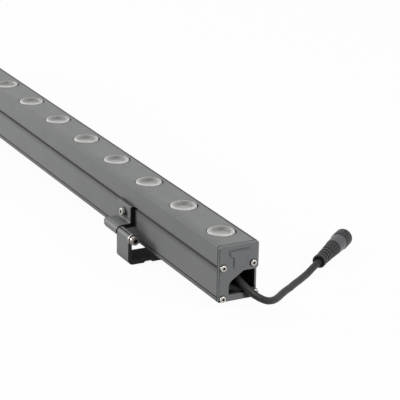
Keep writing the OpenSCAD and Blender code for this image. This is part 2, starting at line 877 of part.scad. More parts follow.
module gland_locknut() {
  color(steel) on_gland(locknut_at) hex_nut(gland_flats, gland_thread_r + thread_gap, locknut_t);
}

// Tapered sleeve on the cable, with shallow rings that let it flex
module strain_relief() {
  pitch = relief_length / (relief_rings + 1);
  color(black_rubber) on_gland(entry_depth) difference() {
    cylinder(r1 = relief_mouth_r, r2 = relief_d / 2, h = relief_length);
    translate([0, 0, -over]) cylinder(r = cable_r, h = relief_length + 2 * over);
    for (index = [1 : relief_rings]) {
      middle = index * pitch;
      outer = relief_mouth_r + (relief_d / 2 - relief_mouth_r) * middle / relief_length;
      translate([0, 0, middle - relief_ring_width / 2])
        ring(outer + 2 * over, outer - relief_ring_depth, relief_ring_width);
    }
  }
}

// Straight run of the cable inside the bar
module cable_tail() {
  color(cable_rubber) on_gland(entry_depth) cylinder(r = cable_r, h = tail_end - entry_depth);
}

function unit(v) = v / norm(v);

// Direction of the cable at a point of its route
function heading(index) =
  index == 0 ? [1, 0, 0]
  : index == len(cable_route) - 1 ? plug_way
  : unit(cable_route[index + 1] - cable_route[index - 1]);

// Ring of points round the route, square to its heading
function cable_ring(index) =
  let (ahead = heading(index), across = unit(cross([0, 0, 1], ahead)), up = cross(ahead, across))
  [for (side = [0 : cable_sides - 1])
    let (turn = 360 * side / cable_sides)
    cable_route[index] + cable_r * (cos(turn) * across + sin(turn) * up)];

module cable() {
  rings = len(cable_route);
  sides = cable_sides;
  points = [for (index = [0 : rings - 1]) each cable_ring(index)];
  walls = [for (index = [0 : rings - 2], side = [0 : sides - 1])
    let (
      a = index * sides + side, b = index * sides + (side + 1) % sides,
      c = a + sides, d = b + sides
    )
    each [[a, b, d], [a, d, c]]];
  start = [for (side = [sides - 1 : -1 : 0]) side];
  finish = [for (side = [0 : sides - 1]) (rings - 1) * sides + side];
  color(cable_rubber) at_cable_end()
    polyhedron(points, concat([start], walls, [finish]));
}

// Moulded body: cable rim, rings, grip, sleeve, and the spigot inside the coupling nut
module connector_body() {
  flange_at = coupling_at + coupling_lip + coupling_run;
  spigot_at = coupling_at + 2 * coupling_lip;
  color(black_rubber) difference() {
    union() {
      on_plug(0) cylinder(r = rim_r, h = rim_length);
      on_plug(0) cylinder(r = plug_neck_r, h = sleeve_end);
      for (index = [0 : plug_rings - 1])
        on_plug(ring_at + index * ring_pitch)
          cylinder(r = ring_low_r + (ring_high_r - ring_low_r) * index / (plug_rings - 1), h = ring_width);
      on_plug(grip_at) difference() {
        cylinder(r1 = grip_low_r, r2 = grip_high_r, h = grip_length);
        for (index = [0 : grip_flutes - 1])
          rotate([0, 0, 360 * index / grip_flutes]) translate([grip_low_r, 0, 0])
            rotate([0, atan((grip_high_r - grip_low_r) / grip_length), 0]) translate([0, 0, -over])
              cylinder(r = grip_flute_r, h = grip_length + over, $fn = flute_sides);
      }
      on_plug(sleeve_at)
        cylinder(r1 = sleeve_low_r, r2 = sleeve_high_r, h = sleeve_end - sleeve_at);
      on_plug(sleeve_end - over) cylinder(r = coupling_neck_r, h = spigot_end - sleeve_end + over);
      on_plug(flange_at) cylinder(r = coupling_flange_r, h = coupling_lip);
      on_plug(spigot_at) cylinder(r = spigot_r, h = spigot_end - spigot_at);
    }
    on_plug(-over) cylinder(r = rim_bore_r, h = cable_seat + plug_seal_length + over);
    on_plug(insert_at) cylinder(r = spigot_bore_r, h = spigot_end - insert_at + over);
  }
}

module connector_seal() {
  color(black_rubber) on_plug(cable_seat)
    cylinder(r = rim_bore_r - rubber_gap, h = plug_seal_length);
}

module connector_insert() {
  color(dark_metal) difference() {
    on_plug(insert_at) cylinder(r = spigot_bore_r - rubber_gap, h = insert_end - insert_at);
    for (index = [0 : contact_count - 1])
      on_plug(insert_at - over) rotate([0, 0, 360 * index / contact_count])
        translate([contact_ring_r, 0, 0])
          cylinder(r = contact_r + rubber_gap, h = insert_end - insert_at + 2 * over);
  }
}

module connector_contacts() {
  color(brass) for (index = [0 : contact_count - 1])
    on_plug(insert_at) rotate([0, 0, 360 * index / contact_count])
      translate([contact_ring_r, 0, 0])
        cylinder(r = contact_r, h = insert_end - insert_at + contact_out);
}

// Fluted nut that turns on the connector's neck
module coupling_nut() {
  outer_r = coupling_d / 2;
  color(cable_rubber) on_plug(coupling_at) difference() {
    rotate_extrude() head_2d(outer_r, coupling_length, coupling_edge_r);
    translate([0, 0, -over])
      cylinder(r = coupling_neck_r + coupling_run, h = coupling_lip + 2 * over);
    translate([0, 0, coupling_lip]) cylinder(r = coupling_bore_r, h = coupling_length);
    for (index = [0 : coupling_flutes - 1])
      rotate([0, 0, 360 * index / coupling_flutes]) translate([outer_r, 0, -over])
        cylinder(r = flute_r, h = coupling_length + 2 * over, $fn = flute_sides);
  }
}

// Plate with a tongue in the groove, a web out to the knuckle, and the fillet between them
module clamp_2d() {
  edge = clamp_edge_r;
  fillet = clamp_fillet_r;
  reach = groove_depth - slide_gap;
  difference() {
    union() {
      translate([-plate_out, -web_low])
        square([clamp_plate, web_low - plate_top - edge]);
      translate([edge - plate_out, -web_low])
        square([clamp_plate - edge, web_low - plate_top]);
      translate([edge - plate_out, -plate_top - edge]) circle(edge);
      translate([-hinge_out, -web_low]) square([hinge_out - slide_gap, clamp_web]);
      translate([-hinge_out, -hinge_drop]) circle(clamp_knuckle_r);
      polygon([
        [-slide_gap - edge, -groove_low + tongue_gap - slide_gap - edge],
        [reach, reach - groove_low + tongue_gap],
        [reach, reach - groove_drop - tongue_gap],
        [-slide_gap - edge, -groove_drop - tongue_gap - slide_gap - edge]
      ]);
      difference() {
        translate([-plate_out - fillet, -web_drop - over])
          square([fillet + over, fillet + over]);
        translate([-plate_out - fillet, fillet - web_drop]) circle(fillet);
      }
    }
    translate([-hinge_out, -hinge_drop]) circle(bolt_r + fit);
  }
}

module clamp(far) {
  color(aluminium) at_end(far) difference() {
    along_bar(clamp_low_x, clamp_length) clamp_2d();
    at_bar() translate([(clamp_low_x + clamp_high_x) / 2, over, -clamp_screw_drop])
      rotate([90, 0, 0]) cylinder(r = clamp_screw_d / 2 + fit, h = plate_out + 2 * over);
  }
}

module clamp_screw(far) {
  depth = socket_depth_share * clamp_head_h;
  edge = head_edge_share * clamp_head_h;
  color(steel) at_end(far) at_bar()
    translate([(clamp_low_x + clamp_high_x) / 2, -plate_out, -clamp_screw_drop])
      rotate([90, 0, 0]) {
        socket_head(clamp_head_d / 2, clamp_head_h, clamp_socket, depth, edge);
        translate([0, 0, -clamp_plate]) cylinder(r = clamp_screw_d / 2, h = clamp_plate + over);
      }
}

// Knuckle, leg and base, with a rounded outer turn, a fillet inside it and a hollow underneath
module foot_2d() {
  corner = base_corner_r;
  fillet = foot_fillet_r;
  inner_y = leg_thickness - leg_out;
  top = base_thickness - foot_drop;
  round = base_thickness / 2;
  hollow_low_y = sole_pad + sole_slope - leg_out;
  hollow_high_y = sole_pad + sole_hollow_width - sole_slope - leg_out;
  difference() {
    union() {
      translate([-hinge_out, -hinge_drop]) circle(foot_knuckle_r);
      translate([-leg_out, corner - foot_drop])
        square([leg_thickness, foot_drop - corner - hinge_drop]);
      translate([corner - leg_out, -foot_drop])
        square([base_reach - round + leg_out - corner, base_thickness]);
      translate([base_reach - round, round - foot_drop]) circle(round);
      translate([corner - leg_out, corner - foot_drop]) intersection() {
        circle(corner);
        translate([-corner, -corner]) square(corner);
      }
      difference() {
        translate([inner_y - over, top - over]) square(fillet + over);
        translate([inner_y + fillet, top + fillet]) circle(fillet);
      }
    }
    polygon([
      [hollow_low_y - sole_slope, -foot_drop - over], [hollow_low_y - sole_slope, -foot_drop],
      [hollow_low_y, sole_hollow - foot_drop], [hollow_high_y, sole_hollow - foot_drop],
      [hollow_high_y + sole_slope, -foot_drop], [hollow_high_y + sole_slope, -foot_drop - over]
    ]);
    translate([-hinge_out, -hinge_drop]) circle(bolt_r + bolt_run);
    translate([-hinge_out, -hinge_drop]) rotate(slit_angle)
      translate([0, -knuckle_slit / 2]) square([foot_knuckle_r + over, knuckle_slit]);
  }
}

module slot_cutter(x, y) {
  half_run = (slot_length - slot_width) / 2;
  translate([x - half_run, y - slot_width / 2, -over])
    cube([2 * half_run, slot_width, base_thickness + 2 * over]);
  for (side = [-1, 1])
    translate([x + side * half_run, y, -over])
      cylinder(d = slot_width, h = base_thickness + 2 * over);
}

module foot(far) {
  color(aluminium) at_end(far) difference() {
    along_bar(foot_low_x, foot_length) foot_2d();
    for (side = [-1, 1]) slot_cutter(foot_x, side * slot_spacing / 2);
  }
}

module hinge_bolt(far) {
  depth = socket_depth_share * bolt_head_h;
  edge = head_edge_share * bolt_head_h;
  color(steel) at_end(far) {
    on_hinge(bolt_head_x) socket_head(bolt_head_d / 2, bolt_head_h, bolt_socket, depth, edge);
    on_hinge(bolt_end_x) cylinder(r = bolt_r, h = bolt_head_x - bolt_end_x + over);
  }
}

module hinge_washer(far) {
  color(steel) at_end(far) on_hinge(washer_x) ring(washer_d / 2, bolt_r + fit, washer_t);
}

module hinge_nut(far) {
  color(steel) at_end(far) on_hinge(nut_x) hex_nut(nut_flats, bolt_r + thread_gap, nut_t);
}

housing();
end_cap(false);  // end_cap_near
end_cap(true);  // end_cap_far
end_seal(false);  // end_seal_near
end_seal(true);  // end_seal_far
cap_screws(false);  // cap_screws_near
cap_screws(true);  // cap_screws_far
lens(0);  // lens_01
lens(1);  // lens_02
lens(2);  // lens_03
lens(3);  // lens_04
lens(4);  // lens_05
lens(5);  // lens_06
lens(6);  // lens_07
lens(7);  // lens_08
lens(8);  // lens_09
lens(9);  // lens_10
lens(10);  // lens_11
lens(11);  // lens_12
lens_seals();
led_board(false);  // led_board_near
led_board(true);  // led_board_far
led_emitters();
board_screws();
driver();
driver_screws();
driver_leads();
board_leads();
bulkhead();
bulkhead_seal();
gland_body();
gland_seal();
gland_nut();
gland_locknut();
strain_relief();
cable_tail();
cable();
connector_body();
connector_seal();
connector_insert();
connector_contacts();
coupling_nut();
clamp(false);  // clamp_near
clamp_screw(false);  // clamp_screw_near
foot(false);  // foot_near
hinge_bolt(false);  // hinge_bolt_near
hinge_washer(false);  // hinge_washer_near
hinge_nut(false);  // hinge_nut_near
clamp(true);  // clamp_far
clamp_screw(true);  // clamp_screw_far
foot(true);  // foot_far
hinge_bolt(true);  // hinge_bolt_far
hinge_washer(true);  // hinge_washer_far
hinge_nut(true);  // hinge_nut_far
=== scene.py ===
"""Wall washer light: camera, cable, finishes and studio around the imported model, in metres."""

import json

import bpy
from mathutils import Matrix, Vector


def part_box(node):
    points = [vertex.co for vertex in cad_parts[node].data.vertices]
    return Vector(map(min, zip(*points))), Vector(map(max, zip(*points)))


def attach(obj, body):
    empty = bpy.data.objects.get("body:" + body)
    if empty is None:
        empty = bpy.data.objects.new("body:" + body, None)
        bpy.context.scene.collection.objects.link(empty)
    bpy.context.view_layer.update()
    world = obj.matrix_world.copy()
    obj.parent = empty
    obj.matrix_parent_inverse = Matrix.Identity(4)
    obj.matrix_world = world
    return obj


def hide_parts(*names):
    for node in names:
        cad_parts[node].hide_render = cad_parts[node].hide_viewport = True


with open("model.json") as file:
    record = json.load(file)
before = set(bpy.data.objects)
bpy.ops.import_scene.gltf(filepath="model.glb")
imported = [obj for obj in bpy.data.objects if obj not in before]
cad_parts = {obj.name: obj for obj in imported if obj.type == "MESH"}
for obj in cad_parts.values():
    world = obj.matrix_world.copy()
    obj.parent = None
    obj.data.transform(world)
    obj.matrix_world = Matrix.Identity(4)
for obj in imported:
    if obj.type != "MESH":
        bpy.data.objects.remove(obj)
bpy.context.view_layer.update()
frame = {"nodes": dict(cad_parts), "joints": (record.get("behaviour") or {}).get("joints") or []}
scene = bpy.context.scene


def mm(*values):
    """A point given in millimetres, in metres."""
    return Vector([value / 1000 for value in values])


def srgb(*levels):
    """A colour from its levels of 0 to 255, as the linear colour that Blender takes."""
    shares = [level / 255 for level in levels]
    return tuple(s / 12.92 if s <= 0.04045 else ((s + 0.055) / 1.055) ** 2.4 for s in shares) + (1.0,)


def middle(node):
    """Middle of a CAD node's box."""
    low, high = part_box(node)
    return (low + high) / 2


# Camera, where the photograph was taken from
IMAGE_PX = 400
FOCAL_PX = 1790.5
SENSOR_MM = 36
CAMERA_AT = mm(1951.379, -816.966, 719.620)
CAMERA_RIGHT = Vector((0.461494, 0.886945, 0.018745))
CAMERA_FORWARD = Vector((-0.831962, 0.440027, -0.337958))

camera_data = bpy.data.cameras.new("camera")
camera_data.sensor_fit = "HORIZONTAL"
camera_data.sensor_width = SENSOR_MM
camera_data.lens = FOCAL_PX / IMAGE_PX * SENSOR_MM
camera_data.clip_start = 0.05
camera_data.clip_end = 60
camera = bpy.data.objects.new("camera", camera_data)
scene.collection.objects.link(camera)
forward = CAMERA_FORWARD.normalized()
up = CAMERA_RIGHT.cross(forward).normalized()
right = forward.cross(up).normalized()
turn = Matrix((right, up, -forward)).transposed().to_4x4()
camera.matrix_world = Matrix.Translation(CAMERA_AT) @ turn
scene.camera = camera


# Supply cable, along the route of the CAD cable: from the strain relief to the connector's rear
CABLE_D = 0.0076
ROUTE = [mm(*point) for point in (
    (466, -2, 40.5), (476.5, -2, 40.5), (488, -1.5, 38), (498, 1.5, 32.5), (504.5, 7.5, 25),
    (507.5, 16.5, 18), (506.5, 26.5, 12.5), (501.5, 37, 9.5), (494.5, 46, 8), (487, 55, 7.5),
    (479.5, 64.5, 7), (472.5, 73.5, 6), (465, 83, 5.5), (458, 92.5, 5), (451, 101.5, 4.5),
    (444, 111, 4.5), (437, 120.5, 5.5), (430, 130, 6.5), (422.494, 140.489, 7.628))]
coupling = next(joint for joint in frame["joints"] if joint["name"] == "coupling_turn")
PLUG_REAR = Vector(coupling["pos_m"])
PLUG_WAY = Vector(coupling["axis"]).normalized()


def through(points, first, last):
    """Handles of one smooth curve through the points, with its directions at both ends."""
    ways = [first] + [(b - a).normalized() for a, b in zip(points, points[2:])] + [last]
    spans = [(b - a).length for a, b in zip(points, points[1:])]
    before = [spans[0]] + spans
    after = spans + [spans[-1]]
    return [(p - w * b / 3, p, p + w * a / 3) for p, w, b, a in zip(points, ways, before, after)]


curve = bpy.data.curves.new("supply_cable", "CURVE")
curve.dimensions = "3D"
curve.resolution_u = 10
curve.bevel_depth = 1
curve.bevel_resolution = 7
curve.use_fill_caps = True
spline = curve.splines.new("BEZIER")
spline.bezier_points.add(len(ROUTE) - 1)
for knot, (before, at, after) in zip(spline.bezier_points, through(ROUTE, Vector((1, 0, 0)), PLUG_WAY)):
    knot.handle_left_type = knot.handle_right_type = "FREE"
    knot.handle_left, knot.co, knot.handle_right = before, at, after
    knot.radius = CABLE_D / 2
cable = bpy.data.objects.new("supply_cable", curve)
scene.collection.objects.link(cable)
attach(cable, "bar")
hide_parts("cable")


# Places that the finishes follow, each pair from where a mark starts to where it is full or ends.
# On the bar: heights of its grooves, of the painted shadow that starts in and under the clamp's groove,
# and of the painted shade on the strip below the line groove, and y of the painted shade line along the
# back edge
BAR_LOW, BAR_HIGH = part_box("housing")
CLAMP_GROOVE = (0.0509, 0.0580)
LINE_GROOVE = (0.0203, 0.0221)
GROOVE_SHADOW = (0.0460, 0.0514)
GROOVE_SHADOW_TOP = 0.0545
LOWER_STRIP_SHADE = (0.0205, 0.0209)
BACK_EDGE_SHADE = (0.0151, 0.0158)
# On the foot: y where its base comes under the bar, and its painted shade starts
BASE_START = (-0.0372, -0.0360)
# On the lenses and round them: radii
LENS_COUNT = 12
FIRST_LENS = middle("lens_01")
LENS_PITCH = (FIRST_LENS.x - middle(f"lens_{LENS_COUNT}").x) / (LENS_COUNT - 1)
LENS_R = 0.0145
BOWL_EDGE = (0.0106, 0.0132)
RIM_EDGE = (0.0132, 0.0142)
LENS_SHADOW_EDGE = (0.0158, 0.0166)
# Ways across the top face, as x and y: to a lens's painted shadow crescent, and to the side where painted
# shade greys its bowl
LENS_SHADOW_WAY = (0.46, 0.887)
BOWL_SHADE_WAY = (-0.88, 0.47)
# On the connector: distances from its rear
GRIP = (0.0226, 0.0406)
SLEEVE = (0.0402, 0.0410)

# How near a wall of the same groove, or another piece, has to be to darken a finish with painted shade
SEAM = 0.003
NEIGHBOUR = 0.03
# Specular levels, kept low because coats and rubber mirror the white studio
COAT_SPECULAR = 0.22
RUBBER_SPECULAR = 0.3


# Finishes
class Nodes:
    """Short calls for building one material."""

    def __init__(self, name):
        self.material = bpy.data.materials.new(name)
        self.material.use_nodes = True
        self.tree = self.material.node_tree
        self.shader = self.tree.nodes["Principled BSDF"]
        self.place = self.add("ShaderNodeTexCoord").outputs["Object"]

    def add(self, kind, **inputs):
        node = self.tree.nodes.new(kind)
        for key, value in inputs.items():
            self.put(node.inputs[key], value)
        return node

    def put(self, socket, value):
        """Link a socket to another one, or set its value."""
        if isinstance(value, bpy.types.NodeSocket):
            self.tree.links.new(value, socket)
        else:
            socket.default_value = value

    def noise(self, scale, detail=3.0, roughness=0.5, place=None):
        node = self.add("ShaderNodeTexNoise", Vector=place or self.place, Scale=scale, Detail=detail,
                        Roughness=roughness)
        return node.outputs["Fac"]

    def stretched(self, x, y, z):
        """The place on the object, with each axis drawn out by a share."""
        node = self.add("ShaderNodeMapping", Vector=self.place)
        node.inputs["Scale"].default_value = (x, y, z)
        return node.outputs["Vector"]

    def between(self, value, low, high, from_low=0.25, from_high=0.75):
        """A value carried from one range to another, and held at its ends."""
        node = self.add("ShaderNodeMapRange", Value=value)
        node.inputs["From Min"].default_value = from_low
        node.inputs["From Max"].default_value = from_high
        node.inputs["To Min"].default_value = low
        node.inputs["To Max"].default_value = high
        return node.outputs["Result"]

    def band(self, value, start, end, soft):
        """1 between a start and an end, with a soft step at both, else 0."""
        rise = self.between(value, 0, 1, start, start + soft)
        fall = self.between(value, 1, 0, end - soft, end)
        return self.both(rise, fall)

    def blend(self, share, one, other):
        """Colour from one to the other by a share. A Mix node's inputs 6 and 7 are its two colours."""
        node = self.tree.nodes.new("ShaderNodeMix")
        node.data_type = "RGBA"
        self.put(node.inputs[0], share)
        self.put(node.inputs[6], one)
        self.put(node.inputs[7], other)
        return node.outputs[2]

    def maths(self, operation, *values):
        node = self.tree.nodes.new("ShaderNodeMath")
        node.operation = operation
        for socket, value in zip(node.inputs, values):
            self.put(socket, value)
        return node.outputs[0]

    def both(self, one, other):
        """Product of two shares."""
        return self.maths("MULTIPLY", one, other)

    def vector_maths(self, operation, one, other):
        node = self.tree.nodes.new("ShaderNodeVectorMath")
        node.operation = operation
        self.put(node.inputs[0], one)
        self.put(node.inputs[1], other)
        return node.outputs

    def parts(self, vector):
        """The three parts of a vector."""
        return self.add("ShaderNodeSeparateXYZ", Vector=vector).outputs

    def true_normal(self):
        return self.add("ShaderNodeNewGeometry").outputs["True Normal"]

    def along(self, start, way):
        """Distance of the place from a start, along a way."""
        offset = self.vector_maths("SUBTRACT", self.place, start)["Vector"]
        return self.vector_maths("DOT_PRODUCT", offset, way)["Value"]

    def from_lens(self):
        """Offsets along and across the bar from the nearest lens's centre, and the distance from it."""
        x, y, z = self.parts(self.place)
        half = LENS_PITCH / 2
        across = self.maths("WRAP", self.maths("SUBTRACT", x, FIRST_LENS.x), half, -half)
        beside = self.maths("SUBTRACT", y, FIRST_LENS.y)
        squares = self.maths("ADD", self.maths("MULTIPLY", across, across),
                             self.maths("MULTIPLY", beside, beside))
        return across, beside, self.maths("SQRT", squares)

    def towards(self, way, across, beside):
        """How far an offset on the top face reaches along a way."""
        x, y = way
        return self.maths("ADD", self.maths("MULTIPLY", across, x), self.maths("MULTIPLY", beside, y))

    def open_to_air(self, reach, low, high):
        """1 where nothing is near, falling to 0 inside grooves, sockets and seams."""
        node = self.add("ShaderNodeAmbientOcclusion", Distance=reach)
        node.samples = 8
        return self.between(node.outputs["AO"], 0, 1, low, high)

    def edges(self, radius, low=0.03, high=0.22):
        """1 on an edge, 0 on a flat or slowly curved face."""
        rounded = self.add("ShaderNodeBevel", Radius=radius)
        rounded.samples = 6
        match = self.vector_maths("DOT_PRODUCT", rounded.outputs["Normal"], self.true_normal())["Value"]
        return self.between(self.maths("SUBTRACT", 1.0, match), 0, 1, low, high)

    def bump(self, height, distance, strength=1.0, below=None):
        node = self.add("ShaderNodeBump", Height=height, Distance=distance, Strength=strength)
        if below is not None:
            self.put(node.inputs["Normal"], below)
        return node.outputs["Normal"]

    def finish(self, **inputs):
        """Set the shader's inputs, named with _ for a space, and return the material."""
        for key, value in inputs.items():
            self.put(self.shader.inputs[key.replace("_", " ")], value)
        return self.material


def shade(level, by):
    """A colour made lighter or darker by a share."""
    return tuple(min(1.0, c * (1 + by)) for c in level[:3]) + (1.0,)


def coated(name, colour, rough, grain=2600, orange=420, tone=0.05, depth=0.00002, metallic=0.0, wear_and_highlight=0.3,
           crevice_shade=0.8, near=(0.35, 0.8), marks=None):
    """Powder coat: fine orange peel, mottling, painted shade in seams, grooves and near other pieces, and
    edges lightened by wear and a painted highlight.
    """
    n = Nodes(name)
    cloud = n.between(n.noise(22, 4), 0, 1)
    speck = n.between(n.noise(grain, 2), 0, 1, 0.3, 0.7)
    tint = n.blend(cloud, shade(colour, -tone), shade(colour, tone))
    tint = n.blend(n.both(speck, 0.35), tint, shade(colour, 2.2 * tone))
    if wear_and_highlight:
        # Edges lighter: wear, and a painted highlight along them.
        worn_and_highlit = n.both(n.edges(0.0007), n.between(n.noise(140, 4), 0.5 * wear_and_highlight, wear_and_highlight, 0.35, 0.65))
        tint = n.blend(worn_and_highlit, tint, shade(colour, 0.9))
    if marks:
        tint = marks(n, tint, colour)
    # Painted shade: darker in seams and grooves, and darker where other pieces are near.
    tint = n.blend(n.open_to_air(SEAM, 0.45, 0.92), shade(colour, -crevice_shade), tint)
    tint = n.blend(n.open_to_air(NEIGHBOUR, *near), shade(colour, -0.95), tint)
    peel = n.bump(n.noise(orange, 3), depth, 0.6)
    fine = n.bump(n.noise(grain, 2), depth / 3, 0.5, peel)
    gloss = n.between(n.noise(60, 4), rough - 0.05, rough + 0.07)
    if metallic:
        n.finish(Metallic=metallic)
    return n.finish(Base_Color=tint, Roughness=gloss, Normal=fine, Specular_IOR_Level=COAT_SPECULAR)


def bar_marks(n, tint, colour):
    """Drawing lines along the bar; painted shade in and under its grooves, on its lower strip, on the top
    towards its near edge and along its back edge; and painted shadow crescents by the lenses.
    """
    x, y, z = n.parts(n.place)
    black = shade(colour, -0.95)
    lines = n.between(n.noise(1400, 3, 0.6, n.stretched(0.004, 1, 1)), 0, 0.5, 0.45, 0.75)
    tint = n.blend(lines, tint, shade(colour, 0.10))
    on_top = n.between(z, 0, 1, BAR_HIGH.z - 0.002, BAR_HIGH.z - 0.001)
    # Painted shade: the top darker towards its near edge.
    near_edge_shade = n.both(on_top, n.between(y, 0.2, 0, BAR_LOW.y, BAR_LOW.y + 0.013))
    tint = n.blend(near_edge_shade, tint, black)
    # Painted shadow under the clamp's groove, as its upper lip would cast.
    shadow_under_groove = n.both(n.between(z, 0, 0.42, *GROOVE_SHADOW), n.maths("LESS_THAN", z, GROOVE_SHADOW_TOP))
    tint = n.blend(shadow_under_groove, tint, black)
    # Painted shade on the strip below the line groove.
    tint = n.blend(n.between(z, 0.24, 0, *LOWER_STRIP_SHADE), tint, black)
    # Painted shade inside both grooves.
    on_sides = n.band(y, BAR_LOW.y - 0.00002, BAR_HIGH.y + 0.00002, soft=0.00042)
    for low, high in (CLAMP_GROOVE, LINE_GROOVE):
        tint = n.blend(n.both(on_sides, n.band(z, low, high, soft=0.0003)), tint, shade(colour, -0.93))
    # Painted shade: a dark line along the back edge of the top.
    back_edge_shade = n.both(n.between(y, 0, 0.95, *BACK_EDGE_SHADE),
                       n.between(z, 0, 1, BAR_HIGH.z - 0.003, BAR_HIGH.z - 0.002))
    tint = n.blend(back_edge_shade, tint, shade(colour, -0.9))
    # Painted shadow: a dark crescent on the top beside each lens, where the lens would cast it.
    across, beside, radius = n.from_lens()
    share = n.maths("DIVIDE", n.towards(LENS_SHADOW_WAY, across, beside), radius)
    crescent = n.both(n.between(share, 0, 1, 0.84, 0.98), n.between(radius, 1, 0, *LENS_SHADOW_EDGE))
    return n.blend(n.both(crescent, on_top), tint, shade(colour, -0.92))


def bracket_marks(n, tint, colour):
    """Painted shade: end faces darkened nearly black, and the base darkened where it lies under the bar.
    """
    # Painted shade: faces that look along the bar, the end faces, darkened nearly black.
    endwise = n.maths("ABSOLUTE", n.parts(n.true_normal())[0])
    tint = n.blend(n.between(endwise, 0, 0.94, 0.9, 0.97), tint, srgb(44, 44, 45))
    x, y, z = n.parts(n.place)
    # Painted shade: the base darkened where it lies under the bar.
    shade_under_bar = n.both(n.between(z, 0.9, 0, 0.010, BAR_LOW.z), n.between(y, 0, 1, *BASE_START))
    return n.blend(shade_under_bar, tint, srgb(30, 30, 31))


def drawn(name, colour, rough, run=(0.02, 1, 1), metallic=1.0, lines=3200, tone=0.10, depth=0.000006,
          crevice_shade=0.94):
    """Bare metal with the fine lines of its drawing or turning along one axis, and painted shade inside
    its sockets and seams.
    """
    n = Nodes(name)
    streak = n.noise(lines, 3, 0.6, n.stretched(*run))
    cloud = n.between(n.noise(90, 3), 0, 1)
    tint = n.blend(cloud, shade(colour, -tone), shade(colour, tone))
    # Painted shade inside sockets and seams.
    tint = n.blend(n.open_to_air(0.0035, 0.55, 0.88), shade(colour, -crevice_shade), tint)
    gloss = n.between(streak, rough - 0.07, rough + 0.10)
    return n.finish(Base_Color=tint, Roughness=gloss, Normal=n.bump(streak, depth, 0.6), Metallic=metallic)


def rubbery(name, colour, rough, grain=1800, tone=0.18, depth=0.00003, crevice_shade=0.85, near=None):
    """Moulded rubber or soft plastic: fine pits, dusty patches, a dull sheen, painted shade in its
    crevices, and painted shade near other pieces when asked.
    """
    n = Nodes(name)
    dust = n.between(n.noise(45, 5, 0.6), 0, 1, 0.35, 0.75)
    tint = n.blend(dust, shade(colour, -tone), shade(colour, tone))
    # Painted shade in crevices.
    tint = n.blend(n.open_to_air(0.002, 0.35, 0.85), shade(colour, -crevice_shade), tint)
    # Painted shade where other pieces are near.
    if near:
        tint = n.blend(n.open_to_air(NEIGHBOUR, *near), shade(colour, -0.9), tint)
    gloss = n.between(n.noise(120, 4), rough - 0.06, rough + 0.08)
    pits = n.bump(n.noise(grain, 3), depth, 0.5)
    return n.finish(Base_Color=tint, Roughness=gloss, Normal=pits, Specular_IOR_Level=RUBBER_SPECULAR)


def plug_rubber():
    """The connector's body: ringed and dotted soft rubber behind a smoother sleeve, with a painted
    highlight along its edges and painted shade in its crevices.
    """
    n = Nodes("connector_rubber")
    reach = n.along(PLUG_REAR, PLUG_WAY)
    grip = n.band(reach, *GRIP, soft=0.0006)
    sleeve = n.between(reach, 0, 1, *SLEEVE)
    cells = n.add("ShaderNodeTexVoronoi", Vector=n.place, Scale=780.0, Randomness=0.25)
    dots = n.between(cells.outputs["Distance"], 1, 0, 0.25, 0.6)
    dust = n.between(n.noise(60, 5, 0.6), 0, 1, 0.35, 0.75)
    tint = n.blend(dust, srgb(40, 40, 41), srgb(52, 52, 53))
    tint = n.blend(sleeve, tint, srgb(82, 83, 86))
    tint = n.blend(n.both(grip, n.maths("SUBTRACT", 1.0, dots)), tint, srgb(22, 22, 22))
    # Painted highlight along the edges.
    tint = n.blend(n.both(n.edges(0.0004), 0.35), tint, srgb(104, 104, 106))
    # Painted shade in crevices.
    tint = n.blend(n.open_to_air(0.002, 0.35, 0.85), srgb(12, 12, 12), tint)
    relief = n.bump(n.both(grip, dots), 0.0003, 0.8)
    pits = n.bump(n.noise(2200, 3), 0.00002, 0.5, relief)
    return n.finish(Base_Color=tint, Roughness=n.between(sleeve, 0.5, 0.34, 0, 1), Normal=pits,
                    Specular_IOR_Level=0.35)


def lens_seal():
    """Grey seal, turned black by a painted shadow on its side towards the back corner."""
    n = Nodes("lens_seal")
    across, beside, radius = n.from_lens()
    back = n.towards(LENS_SHADOW_WAY, across, beside)
    cloud = n.between(n.noise(200, 4), 0, 1)
    tint = n.blend(cloud, srgb(104, 105, 106), srgb(122, 123, 124))
    # Painted shadow: the seal darkened towards the back corner, where the lens would cast it.
    tint = n.blend(n.between(back, 0, 1, 0.55 * LENS_R, 0.9 * LENS_R), tint, srgb(16, 16, 16))
    return n.finish(Base_Color=tint, Roughness=n.between(n.noise(500, 3), 0.5, 0.62),
                    Normal=n.bump(n.noise(1800, 3), 0.00002, 0.5))


